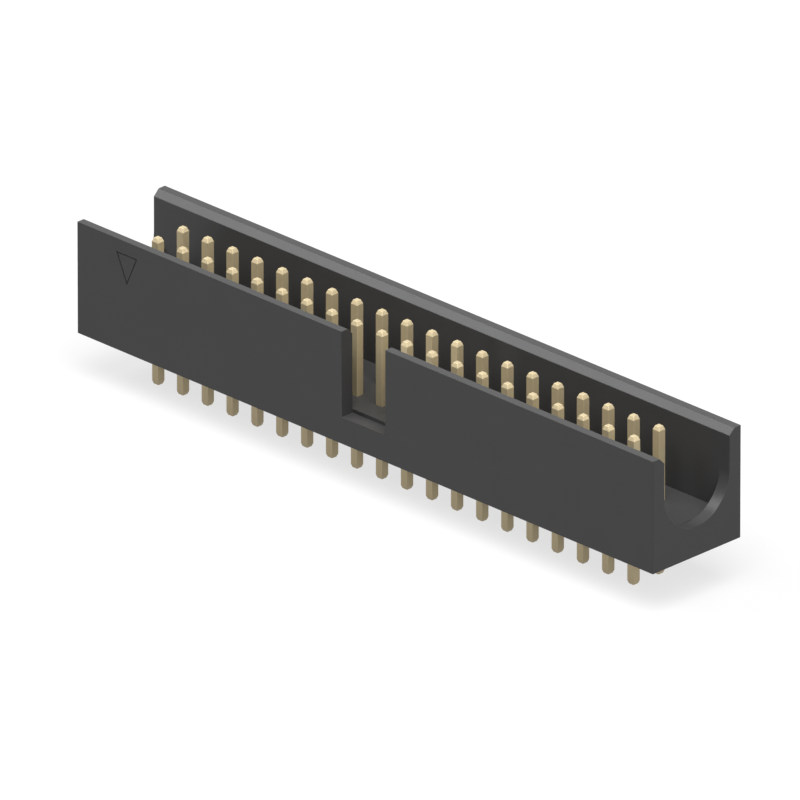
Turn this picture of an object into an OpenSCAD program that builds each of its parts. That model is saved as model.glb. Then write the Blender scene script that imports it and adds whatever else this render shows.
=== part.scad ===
// Shrouded two-row box header for ribbon-cable sockets.
// A moulded housing holds two rows of square contact pins. Its key slot and the pin 1 mark are on
// the front, which faces -Y. Millimetres. The origin is the middle of the contact field on the board
// face, +Z points out of the mating cavity, and the board tails reach below z = 0.

/* [Contact field] */
// Number of contacts in each of the two rows
positions = 20; // [5:1:29]
// Distance between neighbouring contacts of a row
pitch = 2.54; // [2:0.01:3]
// Distance between the two rows
row_spacing = 2.54; // [2:0.01:3]

/* [Contact pins] */
// Side of a pin's square section
pin_size = 0.64; // [0.5:0.01:0.8]
// How far the pins reach below the board face
tail_length = 3.4; // [2:0.1:6]
// How far the pin tops stay below the housing's rim
pin_recess = 0.65; // [0.3:0.05:2]
// Length of the tapered point at each end of a pin
tip_length = 0.25; // [0.1:0.05:0.6]
// How far each side of a pin draws in over its point
tip_inset = 0.09; // [0.03:0.01:0.15]
// How far the coined ears stand out on each side of a pin
ear_reach = 0.08; // [0.04:0.01:0.15]
// Height of the coined ears, along the pin
ear_height = 0.9; // [0.5:0.1:1.4]
// Thickness of the coined ears, across the row
ear_thickness = 0.3; // [0.2:0.05:0.5]

/* [Housing] */
// Height from the board face to the rim
housing_height = 8.85; // [8:0.05:12]
// Thickness of the two long walls
side_wall = 1.15; // [0.8:0.05:2]
// Thickness of the two end walls
end_wall = 1; // [0.6:0.05:2]
// Thickness of the floor that holds the pins
floor_thickness = 2.4; // [1.8:0.05:3]
// Room from a row's centre line to the long wall beside it
side_room = 2.03; // [1:0.01:3]
// Room from the last pin's centre line to the end wall
end_room = 4.07; // [2:0.01:6]
// Width and depth of the 45 degree lead-in along each long wall's inner edge
lead_in = 0.5; // [0.1:0.05:0.7]
// Clearance around a pin in its hole through the floor
hole_clearance = 0.02; // [0.01:0.01:0.03]

/* [Key slot and end notches] */
// Width of the key slot in the front wall
slot_width = 4.45; // [3:0.05:6]
// How far the key slot's bottom lies below the cavity floor
slot_drop = 0.3; // [0:0.05:0.8]
// How far the lowest point of each end notch lies below the cavity floor
notch_drop = 0.05; // [0:0.01:0.5]

/* [Pin 1 mark] */
// Width of the triangle's top edge
mark_width = 2.15; // [1:0.05:3]
// Height of the triangle, which points down
mark_height = 2.4; // [1:0.1:4]
// How far the triangle's top edge lies below the rim
mark_from_rim = 1.05; // [0.5:0.05:2]
// How deep the triangle is sunk into the front face
mark_depth = 0.12; // [0.05:0.01:0.4]

/* [Hidden] */
field_length = (positions - 1) * pitch;
cavity_length = field_length + 2 * end_room;
cavity_width = row_spacing + 2 * side_room;
housing_length = cavity_length + 2 * end_wall;
housing_width = cavity_width + 2 * side_wall;
front_face_y = -housing_width / 2;
pin_top_z = housing_height - pin_recess;
notch_radius = cavity_width / 2;
notch_centre_z = floor_thickness - notch_drop + notch_radius;
ear_middle_z = floor_thickness / 2;
// How far a cutting shape runs past the face that it opens
past = 1;
$fn = 96;

housing_colour = [0.25, 0.25, 0.25];
pin_colour = [0.64, 0.57, 0.4];

// Odd pins stand in the front row and even pins in the back row, with pin 1 at the -X end
function pin_name(number) = str("contact_pin_", number < 10 ? "0" : "", number);
function pin_x(number) = floor((number - 1) / 2) * pitch - field_length / 2;
function pin_y(number) = (number % 2 == 1 ? -1 : 1) * row_spacing / 2;

// Box centred on the Z axis in X and Y, standing on z
module centred_box(size_x, size_y, size_z, z = 0) {
    translate([-size_x / 2, -size_y / 2, z]) cube([size_x, size_y, size_z]);
}

// Turns an outline drawn in Y and Z into a bar of that section, centred on the origin along X
module bar_along_x(length) {
    translate([-length / 2, 0, 0]) rotate([90, 0, 90]) linear_extrude(length) children();
}

// Turns an outline drawn in X and Z into a plate of that thickness, centred on the origin along Y
module plate_across_y(thickness) {
    translate([0, thickness / 2, 0]) rotate([90, 0, 0]) linear_extrude(thickness) children();
}

// The open cavity between the four walls
module cavity() {
    centred_box(cavity_length, cavity_width, housing_height, floor_thickness);
}

// Lead-in that opens the mouth along both long walls, out through both end faces
module mouth_lead_in() {
    bar_along_x(housing_length + 2 * past)
        polygon([
            [-cavity_width / 2, housing_height - lead_in],
            [cavity_width / 2, housing_height - lead_in],
            [cavity_width / 2 + lead_in + past, housing_height + past],
            [-cavity_width / 2 - lead_in - past, housing_height + past],
        ]);
}

// U-shaped notch through both end walls, as wide as the cavity, round at its bottom
module end_notches() {
    for (end = [0, 1])
        mirror([end, 0, 0]) translate([cavity_length / 2, 0, 0])
            rotate([90, 0, 90]) linear_extrude(end_wall + past) {
                translate([0, notch_centre_z]) circle(r = notch_radius);
                translate([-notch_radius, notch_centre_z])
                    square([2 * notch_radius, housing_height - notch_centre_z + past]);
            }
}

// Open-topped slot through the front wall, for the key on the mating socket
module key_slot() {
    slot_bottom_z = floor_thickness - slot_drop;
    translate([-slot_width / 2, front_face_y - past, slot_bottom_z])
        cube([slot_width, side_wall + past, housing_height]);
}

// Sunk triangle on the front face that points down at pin 1
module pin_1_mark() {
    top_z = housing_height - mark_from_rim;
    translate([pin_x(1), front_face_y, 0])
        plate_across_y(2 * mark_depth)
            polygon([
                [-mark_width / 2, top_z],
                [mark_width / 2, top_z],
                [0, top_z - mark_height],
            ]);
}

// Coined ears on both sides of a pin. The plastic closes round them, so housing and pin share them
module ears() {
    half = pin_size / 2;
    reach = half + ear_reach;
    low_z = ear_middle_z - ear_height / 2;
    high_z = ear_middle_z + ear_height / 2;
    plate_across_y(ear_thickness)
        polygon([
            [-half, low_z],
            [half, low_z],
            [reach, low_z + ear_reach],
            [reach, high_z - ear_reach],
            [half, high_z],
            [-half, high_z],
            [-reach, high_z - ear_reach],
            [-reach, low_z + ear_reach],
        ]);
}

// Square hole through the floor, with the pockets that the ears press into it
module pin_hole() {
    hole_size = pin_size + 2 * hole_clearance;
    centred_box(hole_size, hole_size, floor_thickness + 2 * past, -past);
    ears();
}

// Side view of a pin: straight flanks and a blunt tapered point at each end
module pin_outline() {
    half = pin_size / 2;
    blunt = half - tip_inset;
    polygon([
        [-blunt, -tail_length],
        [blunt, -tail_length],
        [half, tip_length - tail_length],
        [half, pin_top_z - tip_length],
        [blunt, pin_top_z],
        [-blunt, pin_top_z],
        [-half, pin_top_z - tip_length],
        [-half, tip_length - tail_length],
    ]);
}

// Glass-filled plastic housing, moulded in one piece
module housing() {
    color(housing_colour)
        difference() {
            centred_box(housing_length, housing_width, housing_height);
            cavity();
            mouth_lead_in();
            end_notches();
            key_slot();
            pin_1_mark();
            for (number = [1 : 2 * positions])
                translate([pin_x(number), pin_y(number), 0]) pin_hole();
        }
}

// Plated brass contact: socket contact above the floor, board tail below it
module contact_pin(number) {
    color(pin_colour)
        translate([pin_x(number), pin_y(number), 0]) {
            intersection() {
                plate_across_y(pin_size) pin_outline();
                bar_along_x(pin_size) pin_outline();
            }
            ears();
        }
}

housing();
for (number = [1 : 2 * positions])
    contact_pin(number);
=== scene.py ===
import math

import bmesh
import bpy
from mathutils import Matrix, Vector


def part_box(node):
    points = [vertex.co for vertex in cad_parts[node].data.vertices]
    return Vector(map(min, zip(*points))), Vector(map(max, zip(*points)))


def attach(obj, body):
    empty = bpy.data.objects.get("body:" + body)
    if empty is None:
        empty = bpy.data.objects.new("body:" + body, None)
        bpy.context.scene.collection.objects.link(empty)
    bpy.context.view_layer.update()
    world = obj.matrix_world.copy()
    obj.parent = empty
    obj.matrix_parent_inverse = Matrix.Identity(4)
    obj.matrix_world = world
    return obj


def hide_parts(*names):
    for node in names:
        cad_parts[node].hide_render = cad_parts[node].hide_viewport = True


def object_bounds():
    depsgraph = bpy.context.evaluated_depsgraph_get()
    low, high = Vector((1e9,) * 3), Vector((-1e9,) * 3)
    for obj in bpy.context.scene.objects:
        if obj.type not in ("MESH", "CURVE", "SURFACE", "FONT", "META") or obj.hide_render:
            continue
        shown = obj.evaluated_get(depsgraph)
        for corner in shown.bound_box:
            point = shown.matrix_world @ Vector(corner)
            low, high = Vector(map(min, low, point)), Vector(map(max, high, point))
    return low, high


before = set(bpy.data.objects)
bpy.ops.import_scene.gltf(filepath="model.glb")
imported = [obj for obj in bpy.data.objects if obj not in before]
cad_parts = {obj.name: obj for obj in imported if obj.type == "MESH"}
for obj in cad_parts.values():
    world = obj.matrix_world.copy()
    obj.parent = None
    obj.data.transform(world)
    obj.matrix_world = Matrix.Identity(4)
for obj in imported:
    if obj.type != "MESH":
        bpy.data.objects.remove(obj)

cad_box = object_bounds()

# Camera. It stands far off behind a long lens, so that the rows and the walls keep parallel edges,
# and looks from half way between the front face and the far end face, a little from above.
AZIMUTH = math.radians(45)
ELEVATION = math.radians(24.74)
HALF_FIELD = math.radians(0.62)
VIEW_WIDTH = 0.05741
VIEW_OFFSET = Vector((-0.00037, -0.000345, 0))

low_corner, high_corner = cad_box
to_camera = Vector((
    math.sin(AZIMUTH) * math.cos(ELEVATION),
    -math.cos(AZIMUTH) * math.cos(ELEVATION),
    math.sin(ELEVATION),
))
view_distance = VIEW_WIDTH / 2 / math.tan(HALF_FIELD)
camera_data = bpy.data.cameras.new("long_lens")
camera_data.lens = camera_data.sensor_width / 2 / math.tan(HALF_FIELD)
camera_data.clip_start = view_distance / 2
camera_data.clip_end = view_distance * 2
camera = bpy.data.objects.new("camera", camera_data)
camera.location = (low_corner + high_corner) / 2 + VIEW_OFFSET + to_camera * view_distance
camera.rotation_euler = (-to_camera).to_track_quat("-Z", "Y").to_euler()
bpy.context.scene.collection.objects.link(camera)
bpy.context.scene.camera = camera
bpy.context.scene.view_settings.view_transform = "Standard"


# Housing. Glass-filled polyester in charcoal, moulded in one shot round a core that leaves the open
# cavity, the key slot, the two end notches and the 40 square holes that the contacts press into.
SIDE_WALL = 0.00115
END_WALL = 0.001
FLOOR_THICKNESS = 0.0024
LEAD_IN = 0.0005
SLOT_WIDTH = 0.00445
SLOT_DROP = 0.0003
NOTCH_DROP = 0.00005
NOTCH_STEPS = 96
MARK_WIDTH = 0.00215
MARK_HEIGHT = 0.0024
MARK_FROM_RIM = 0.00105
GROOVE_DEPTH = 0.00008
GROOVE_WIDTH = 0.00009
MARK_SUNK = 0.00003
PIN_SIZE = 0.00064
HOLE_CLEARANCE = 0.00002
EAR_REACH = 0.00008
EAR_HEIGHT = 0.0009
EAR_THICKNESS = 0.0003
PAST = 0.001
MOULD_RADIUS = 0.00004
THINNEST_ROUNDED = 0.00012
MOULD_SEGMENTS = 2
SHARP = math.radians(30)
FLAT = math.radians(0.1)
WELD = 1e-7

housing_low, housing_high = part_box("housing")
rim_z = housing_high.z
cavity_half_x = housing_high.x - END_WALL
cavity_half_y = housing_high.y - SIDE_WALL
notch_centre_z = FLOOR_THICKNESS - NOTCH_DROP + cavity_half_y
pin_nodes = sorted(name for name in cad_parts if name.startswith("contact_pin_"))


def pin_axis(node):
    """Where a contact's centre line meets the board face."""
    low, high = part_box(node)
    return Vector(((low.x + high.x) / 2, (low.y + high.y) / 2, 0))


def rectangle(low, high):
    """The four corners of the low side of a rectangular block."""
    return [
        (low[0], low[1], low[2]),
        (high[0], low[1], low[2]),
        (high[0], high[1], low[2]),
        (low[0], high[1], low[2]),
    ]


def solid(name, outlines, direction):
    """Closed solids that run from flat outlines along a direction, as one object."""
    shape = bmesh.new()
    for outline in outlines:
        start = [shape.verts.new(corner) for corner in outline]
        end = [shape.verts.new(Vector(corner) + Vector(direction)) for corner in outline]
        shape.faces.new(start)
        shape.faces.new(end)
        for i in range(len(outline)):
            j = (i + 1) % len(outline)
            shape.faces.new((start[i], start[j], end[j], end[i]))
    bmesh.ops.recalc_face_normals(shape, faces=shape.faces)
    mesh = bpy.data.meshes.new(name)
    shape.to_mesh(mesh)
    shape.free()
    piece = bpy.data.objects.new(name, mesh)
    bpy.context.scene.collection.objects.link(piece)
    return piece


def settle(piece):
    """Makes a piece's modifiers part of its mesh."""
    bpy.context.view_layer.update()
    evaluated = piece.evaluated_get(bpy.context.evaluated_depsgraph_get())
    mesh = bpy.data.meshes.new_from_object(evaluated)
    piece.modifiers.clear()
    mesh.name = piece.name
    piece.data = mesh


def combine(piece, other, operation):
    """Joins the other solid to a piece, or cuts it out of the piece, and tidies the flat faces."""
    step = piece.modifiers.new("combine", "BOOLEAN")
    step.operation = operation
    step.solver = "EXACT"
    step.object = other
    settle(piece)
    bpy.data.objects.remove(other)
    shape = bmesh.new()
    shape.from_mesh(piece.data)
    bmesh.ops.remove_doubles(shape, verts=shape.verts, dist=WELD)
    bmesh.ops.dissolve_limit(shape, angle_limit=FLAT, verts=shape.verts, edges=shape.edges)
    shape.to_mesh(piece.data)
    shape.free()


housing = solid(
    "moulded_housing",
    [rectangle(housing_low, housing_high)],
    (0, 0, rim_z - housing_low.z),
)

cavity_low = Vector((-cavity_half_x, -cavity_half_y, FLOOR_THICKNESS))
cavity_outline = rectangle(cavity_low, -cavity_low)
cavity = solid("cavity", [cavity_outline], (0, 0, rim_z + PAST - FLOOR_THICKNESS))
combine(housing, cavity, "DIFFERENCE")

lead_in_reach = cavity_half_y + LEAD_IN + PAST
lead_in_outline = [
    (housing_low.x - PAST, -cavity_half_y, rim_z - LEAD_IN),
    (housing_low.x - PAST, cavity_half_y, rim_z - LEAD_IN),
    (housing_low.x - PAST, lead_in_reach, rim_z + PAST),
    (housing_low.x - PAST, -lead_in_reach, rim_z + PAST),
]
lead_in = solid("lead_in", [lead_in_outline], (2 * (housing_high.x + PAST), 0, 0))
combine(housing, lead_in, "DIFFERENCE")

notch_angles = [math.pi * step / NOTCH_STEPS for step in range(NOTCH_STEPS + 1)]
notch_outline = [
    (-cavity_half_y, rim_z + PAST),
    *(
        (-cavity_half_y * math.cos(angle), notch_centre_z - cavity_half_y * math.sin(angle))
        for angle in notch_angles
    ),
    (cavity_half_y, rim_z + PAST),
]
for end in (-1, 1):
    notch = solid(
        "end_notch",
        [[(end * cavity_half_x, y, z) for y, z in notch_outline]],
        (end * (END_WALL + PAST), 0, 0),
    )
    combine(housing, notch, "DIFFERENCE")

slot_low = Vector((-SLOT_WIDTH / 2, housing_low.y - PAST, FLOOR_THICKNESS - SLOT_DROP))
slot_high = Vector((SLOT_WIDTH / 2, -cavity_half_y, rim_z + PAST))
slot = solid("key_slot", [rectangle(slot_low, slot_high)], (0, 0, slot_high.z - slot_low.z))
combine(housing, slot, "DIFFERENCE")

mark_x = pin_axis("contact_pin_01").x
mark_top = rim_z - MARK_FROM_RIM
mark_corners = [
    (mark_x - MARK_WIDTH / 2, mark_top),
    (mark_x + MARK_WIDTH / 2, mark_top),
    (mark_x, mark_top - MARK_HEIGHT),
]

# A fine groove follows the triangle's three edges, and the island inside it is sunk a little.
mark_slant = math.hypot(MARK_WIDTH / 2, MARK_HEIGHT)
mark_inner_radius = MARK_WIDTH * MARK_HEIGHT / (MARK_WIDTH + 2 * mark_slant)
shrink = 1 - GROOVE_WIDTH / mark_inner_radius
mark_centre_z = mark_top - mark_inner_radius
groove_outline = [(x, housing_low.y - PAST, z) for x, z in mark_corners]
groove = solid("mark_groove", [groove_outline], (0, PAST + GROOVE_DEPTH, 0))
island_outline = [
    (
        mark_x + (x - mark_x) * shrink,
        housing_low.y + MARK_SUNK,
        mark_centre_z + (z - mark_centre_z) * shrink,
    )
    for x, z in mark_corners
]
island = solid("mark_island", [island_outline], (0, PAST, 0))
combine(groove, island, "DIFFERENCE")
combine(housing, groove, "DIFFERENCE")

hole_half = PIN_SIZE / 2 + HOLE_CLEARANCE
hole_corner = Vector((hole_half, hole_half, PAST))
hole_outlines = [
    rectangle(pin_axis(node) - hole_corner, pin_axis(node) + hole_corner)
    for node in pin_nodes
]
holes = solid("contact_holes", hole_outlines, (0, 0, FLOOR_THICKNESS + 2 * PAST))
combine(housing, holes, "DIFFERENCE")


def ear_outline(axis):
    """Side view of the coined ears on a contact, which hold it half way down the floor."""
    half = PIN_SIZE / 2
    reach = half + EAR_REACH
    low = (FLOOR_THICKNESS - EAR_HEIGHT) / 2
    high = (FLOOR_THICKNESS + EAR_HEIGHT) / 2
    corners = [
        (-half, low),
        (half, low),
        (reach, low + EAR_REACH),
        (reach, high - EAR_REACH),
        (half, high),
        (-half, high),
        (-reach, high - EAR_REACH),
        (-reach, low + EAR_REACH),
    ]
    return [(axis.x + x, axis.y - EAR_THICKNESS / 2, z) for x, z in corners]


ear_outlines = [ear_outline(pin_axis(node)) for node in pin_nodes]
pockets = solid("ear_pockets", ear_outlines, (0, EAR_THICKNESS, 0))
combine(housing, pockets, "DIFFERENCE")

# Every outer edge comes off the mould slightly rounded, apart from the edges down in the pin holes,
# the crisp edges of the mark, and the ends of the notch arcs, which are too thin to hold a radius.
mark_box_middle = (mark_x, 0, mark_top - MARK_HEIGHT / 2)
mark_box_half = (MARK_WIDTH / 2, 0, MARK_HEIGHT / 2)
shape = bmesh.new()
shape.from_mesh(housing.data)
rounding = shape.edges.layers.float.new("bevel_weight_edge")
for face in shape.faces:
    face.smooth = True
for edge in shape.edges:
    middle = (edge.verts[0].co + edge.verts[1].co) / 2
    edge.smooth = edge.calc_face_angle() < SHARP
    from_side_wall = cavity_half_y - abs(middle.y)
    in_hole = WELD < middle.z < FLOOR_THICKNESS - WELD and from_side_wall > cavity_half_y / 2
    on_inner_arc = abs(abs(middle.x) - cavity_half_x) < WELD and from_side_wall > WELD
    from_nearest = min(middle.z - FLOOR_THICKNESS, from_side_wall)
    too_thin = on_inner_arc and from_nearest < THINNEST_ROUNDED
    in_mark = middle.y - housing_low.y < GROOVE_DEPTH + WELD and all(
        abs(middle[axis] - mark_box_middle[axis]) < mark_box_half[axis] + WELD for axis in (0, 2)
    )
    if not edge.smooth and edge.is_convex and not in_hole and not too_thin and not in_mark:
        edge[rounding] = 1
        edge.smooth = True
shape.to_mesh(housing.data)
shape.free()
rounded = housing.modifiers.new("mould_radius", "BEVEL")
rounded.limit_method = "WEIGHT"
rounded.width = MOULD_RADIUS
rounded.segments = MOULD_SEGMENTS
rounded.use_clamp_overlap = False
rounded.harden_normals = True
settle(housing)
for vertex in housing.data.vertices:
    vertex.co.z = min(vertex.co.z, rim_z)


class Signal:
    """A value, colour or vector in a material. Sums and products add Math nodes."""

    def __init__(self, tree, output=None):
        self.tree = tree
        self.output = output

    def node(self, kind, settings, sockets, output=0):
        """Adds a node, with its settings first and then the values or links of its sockets."""
        made = self.tree.nodes.new(kind)
        for name, value in settings.items():
            setattr(made, name, value)
        for name, value in sockets.items():
            if isinstance(value, Signal):
                self.tree.links.new(value.output, made.inputs[name])
            else:
                made.inputs[name].default_value = value
        return Signal(self.tree, made.outputs[output] if made.outputs else None)

    def maths(self, operation, first, second):
        return self.node("ShaderNodeMath", {"operation": operation}, {0: first, 1: second})

    def __add__(self, other):
        return self.maths("ADD", self, other)

    __radd__ = __add__

    def __mul__(self, other):
        return self.maths("MULTIPLY", self, other)

    __rmul__ = __mul__


def new_material(name):
    """An empty material and the signal that its nodes are added to."""
    material = bpy.data.materials.new(name)
    material.use_nodes = True
    material.node_tree.nodes.clear()
    return material, Signal(material.node_tree)


def mixed(amount, first, second):
    """Two colours mixed by an amount from 0 to 1. The Mix node's sockets go by their numbers."""
    factor_in = 0
    first_colour_in = 6
    second_colour_in = 7
    colour_out = 2
    return amount.node(
        "ShaderNodeMix",
        {"data_type": "RGBA"},
        {factor_in: amount, first_colour_in: first, second_colour_in: second},
        output=colour_out,
    )


def noise(place, scale, detail):
    """Smooth noise from 0 to 1 with about that many patches to the metre."""
    sockets = {"Vector": place, "Scale": scale, "Detail": detail}
    return place.node("ShaderNodeTexNoise", {}, sockets)


CHARCOAL = (0.037, 0.037, 0.0373, 1)
CHARCOAL_LIGHT = (0.044, 0.044, 0.0443, 1)
PLASTIC_ROUGHNESS = 0.27
PLASTIC_ROUGHNESS_RANGE = 0.1
PLASTIC_SPECULAR = 0.16
CLOUD_SCALE = 260
GRAIN_SCALE = 7000
FIBRE_SCALE = (300, 3000, 3000)
MOULD_RELIEF = 0.00001
MOULD_RELIEF_STRENGTH = 0.25

plastic, start = new_material("charcoal_polyester")
place = start.node("ShaderNodeTexCoord", {}, {}, output="Object")
cloud = noise(place, CLOUD_SCALE, detail=3)
grain = noise(place, GRAIN_SCALE, detail=2)
fibre_place = place.node("ShaderNodeMapping", {}, {"Vector": place, "Scale": FIBRE_SCALE})
fibre = noise(fibre_place, scale=1, detail=4)
shade = 0.55 * cloud + 0.25 * fibre + 0.2 * grain
relief = 0.75 * grain + 0.25 * fibre
bump = start.node("ShaderNodeBump", {}, {
    "Strength": MOULD_RELIEF_STRENGTH,
    "Distance": MOULD_RELIEF,
    "Height": relief,
})
surface = start.node("ShaderNodeBsdfPrincipled", {}, {
    "Base Color": mixed(shade, CHARCOAL, CHARCOAL_LIGHT),
    "Roughness": PLASTIC_ROUGHNESS + PLASTIC_ROUGHNESS_RANGE * cloud,
    "Specular IOR Level": PLASTIC_SPECULAR,
    "Normal": bump,
})
start.node("ShaderNodeOutputMaterial", {}, {"Surface": surface})

housing.data.materials.clear()
housing.data.materials.append(plastic)
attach(housing, "root")
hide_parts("housing")


# Contacts. Square brass wire, 0.64 mm, cut and coined to a blunt point at both ends and plated with
# nickel and a thin pale gold. Each is pressed into the floor from below until its coined ears hold.
TIP_LENGTH = 0.0003
TIP_INSET = 0.00012
TAIL_TIP_LENGTH = 0.00025
TAIL_TIP_INSET = 0.00009
WIRE_RADIUS = 0.000018
WIRE_SEGMENTS = 3
WIRE_EDGE = math.radians(12)

pin_low, pin_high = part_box("contact_pin_01")


def square(half, z):
    """A square level of the pin, centred on its axis."""
    return [(half, half, z), (-half, half, z), (-half, -half, z), (half, -half, z)]


levels = [
    square(PIN_SIZE / 2 - TAIL_TIP_INSET, pin_low.z),
    square(PIN_SIZE / 2, pin_low.z + TAIL_TIP_LENGTH),
    square(PIN_SIZE / 2, pin_high.z - TIP_LENGTH),
    square(PIN_SIZE / 2 - TIP_INSET, pin_high.z),
]
shape = bmesh.new()
rings = [[shape.verts.new(corner) for corner in level] for level in levels]
shape.faces.new(reversed(rings[0]))
shape.faces.new(rings[-1])
for lower, upper in zip(rings, rings[1:]):
    for i in range(len(lower)):
        j = (i + 1) % len(lower)
        shape.faces.new((lower[i], lower[j], upper[j], upper[i]))
bmesh.ops.recalc_face_normals(shape, faces=shape.faces)
mesh = bpy.data.meshes.new("contact")
shape.to_mesh(mesh)
shape.free()
contact = bpy.data.objects.new("contact", mesh)
bpy.context.scene.collection.objects.link(contact)
ears = solid("ears", [ear_outline(Vector((0, 0, 0)))], (0, EAR_THICKNESS, 0))
combine(contact, ears, "UNION")
for polygon in contact.data.polygons:
    polygon.use_smooth = True
rounded = contact.modifiers.new("wire_radius", "BEVEL")
rounded.limit_method = "ANGLE"
rounded.angle_limit = WIRE_EDGE
rounded.width = WIRE_RADIUS
rounded.segments = WIRE_SEGMENTS
rounded.harden_normals = True
settle(contact)

GOLD = (0.5, 0.41, 0.245, 1)
GOLD_LIGHT = (0.58, 0.485, 0.305, 1)
PLATING_METALLIC = 0.5
PLATING_ROUGHNESS = 0.38
PLATING_ROUGHNESS_RANGE = 0.14
DRAWN_SCALE = (16000, 16000, 350)
PATCH_SCALE = 1800
DRAWN_RELIEF = 0.000005
DRAWN_RELIEF_STRENGTH = 0.15

plating, start = new_material("pale_gold_plating")
place = start.node("ShaderNodeTexCoord", {}, {}, output="Object")
drawn_place = place.node("ShaderNodeMapping", {}, {"Vector": place, "Scale": DRAWN_SCALE})
drawn = noise(drawn_place, scale=1, detail=2)
patches = noise(place, PATCH_SCALE, detail=2)
shade = 0.6 * drawn + 0.4 * patches
bump = start.node("ShaderNodeBump", {}, {
    "Strength": DRAWN_RELIEF_STRENGTH,
    "Distance": DRAWN_RELIEF,
    "Height": drawn,
})
surface = start.node("ShaderNodeBsdfPrincipled", {}, {
    "Base Color": mixed(shade, GOLD, GOLD_LIGHT),
    "Metallic": PLATING_METALLIC,
    "Roughness": PLATING_ROUGHNESS + PLATING_ROUGHNESS_RANGE * drawn,
    "Normal": bump,
})
start.node("ShaderNodeOutputMaterial", {}, {"Surface": surface})
contact.data.materials.clear()
contact.data.materials.append(plating)

for node in pin_nodes:
    pin = bpy.data.objects.new(node.replace("contact_pin", "plated_contact"), contact.data)
    bpy.context.scene.collection.objects.link(pin)
    pin.location = pin_axis(node)
    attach(pin, "root")
    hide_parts(node)
bpy.data.objects.remove(contact)


# Floor. A plain studio table with matt pale paint, which the tails stand on and which takes the
# header's soft shadow. It looks almost white, and throws only a little light back at the header.
TABLE_HALF = 3
TABLE_THICKNESS = 0.01
TABLE_GREY = (0.16, 0.16, 0.16, 1)
TABLE_GLOW = (0.72, 0.72, 0.72, 1)
TABLE_ROUGHNESS = 0.9
NO_GLOW = (0, 0, 0, 1)


def seen_directly(start):
    """1 for the rays that show or mirror a surface, and 0 for those by which it lights others."""
    return (
        start.node("ShaderNodeLightPath", {}, {}, output="Is Camera Ray")
        + start.node("ShaderNodeLightPath", {}, {}, output="Is Glossy Ray")
        + start.node("ShaderNodeLightPath", {}, {}, output="Is Transmission Ray")
    )


table_low = (-TABLE_HALF, -TABLE_HALF, low_corner.z - TABLE_THICKNESS)
table_high = (TABLE_HALF, TABLE_HALF, low_corner.z)
table = solid("table", [rectangle(table_low, table_high)], (0, 0, TABLE_THICKNESS))

table_paint, start = new_material("table_paint")
surface = start.node("ShaderNodeBsdfPrincipled", {}, {
    "Base Color": TABLE_GREY,
    "Roughness": TABLE_ROUGHNESS,
    "Specular IOR Level": 0,
    "Emission Color": mixed(seen_directly(start), NO_GLOW, TABLE_GLOW),
    "Emission Strength": 1,
})
start.node("ShaderNodeOutputMaterial", {}, {"Surface": surface})
table.data.materials.append(table_paint)


# Light. Four square softboxes face the header: the key high on the left, a wide one overhead, and
# two weaker ones beyond its far end. The room round them looks white, but lights it only faintly.
ROOM_LIGHT = (0.08, 0.08, 0.08, 1)
ROOM_WHITE = (1, 1, 1, 1)


def softbox(name, direction, distance, size, radiance):
    """A square area light that faces the header."""
    direction = Vector(direction).normalized()
    lamp = bpy.data.lights.new(name, "AREA")
    lamp.shape = "SQUARE"
    lamp.size = size
    lamp.energy = radiance * math.pi * size ** 2
    holder = bpy.data.objects.new(name, lamp)
    holder.location = direction * distance
    holder.rotation_euler = direction.to_track_quat("Z", "Y").to_euler()
    bpy.context.scene.collection.objects.link(holder)


softbox("key_softbox", (-0.643, -0.416, 0.643), distance=0.6, size=0.3, radiance=9)
softbox("overhead_softbox", (0.25, -0.2, 0.95), distance=0.8, size=0.6, radiance=9)
softbox("end_softbox", (0.8, -0.3, 0.6), distance=0.8, size=0.5, radiance=4)
softbox("far_softbox", (0.75, 0.55, 0.32), distance=0.8, size=0.45, radiance=1.4)

room = bpy.data.worlds.new("pale_room")
bpy.context.scene.world = room
room.use_nodes = True
room.node_tree.nodes.clear()
start = Signal(room.node_tree)
room_colour = mixed(seen_directly(start), ROOM_LIGHT, ROOM_WHITE)
surface = start.node("ShaderNodeBackground", {}, {"Color": room_colour})
start.node("ShaderNodeOutputWorld", {}, {"Surface": surface})
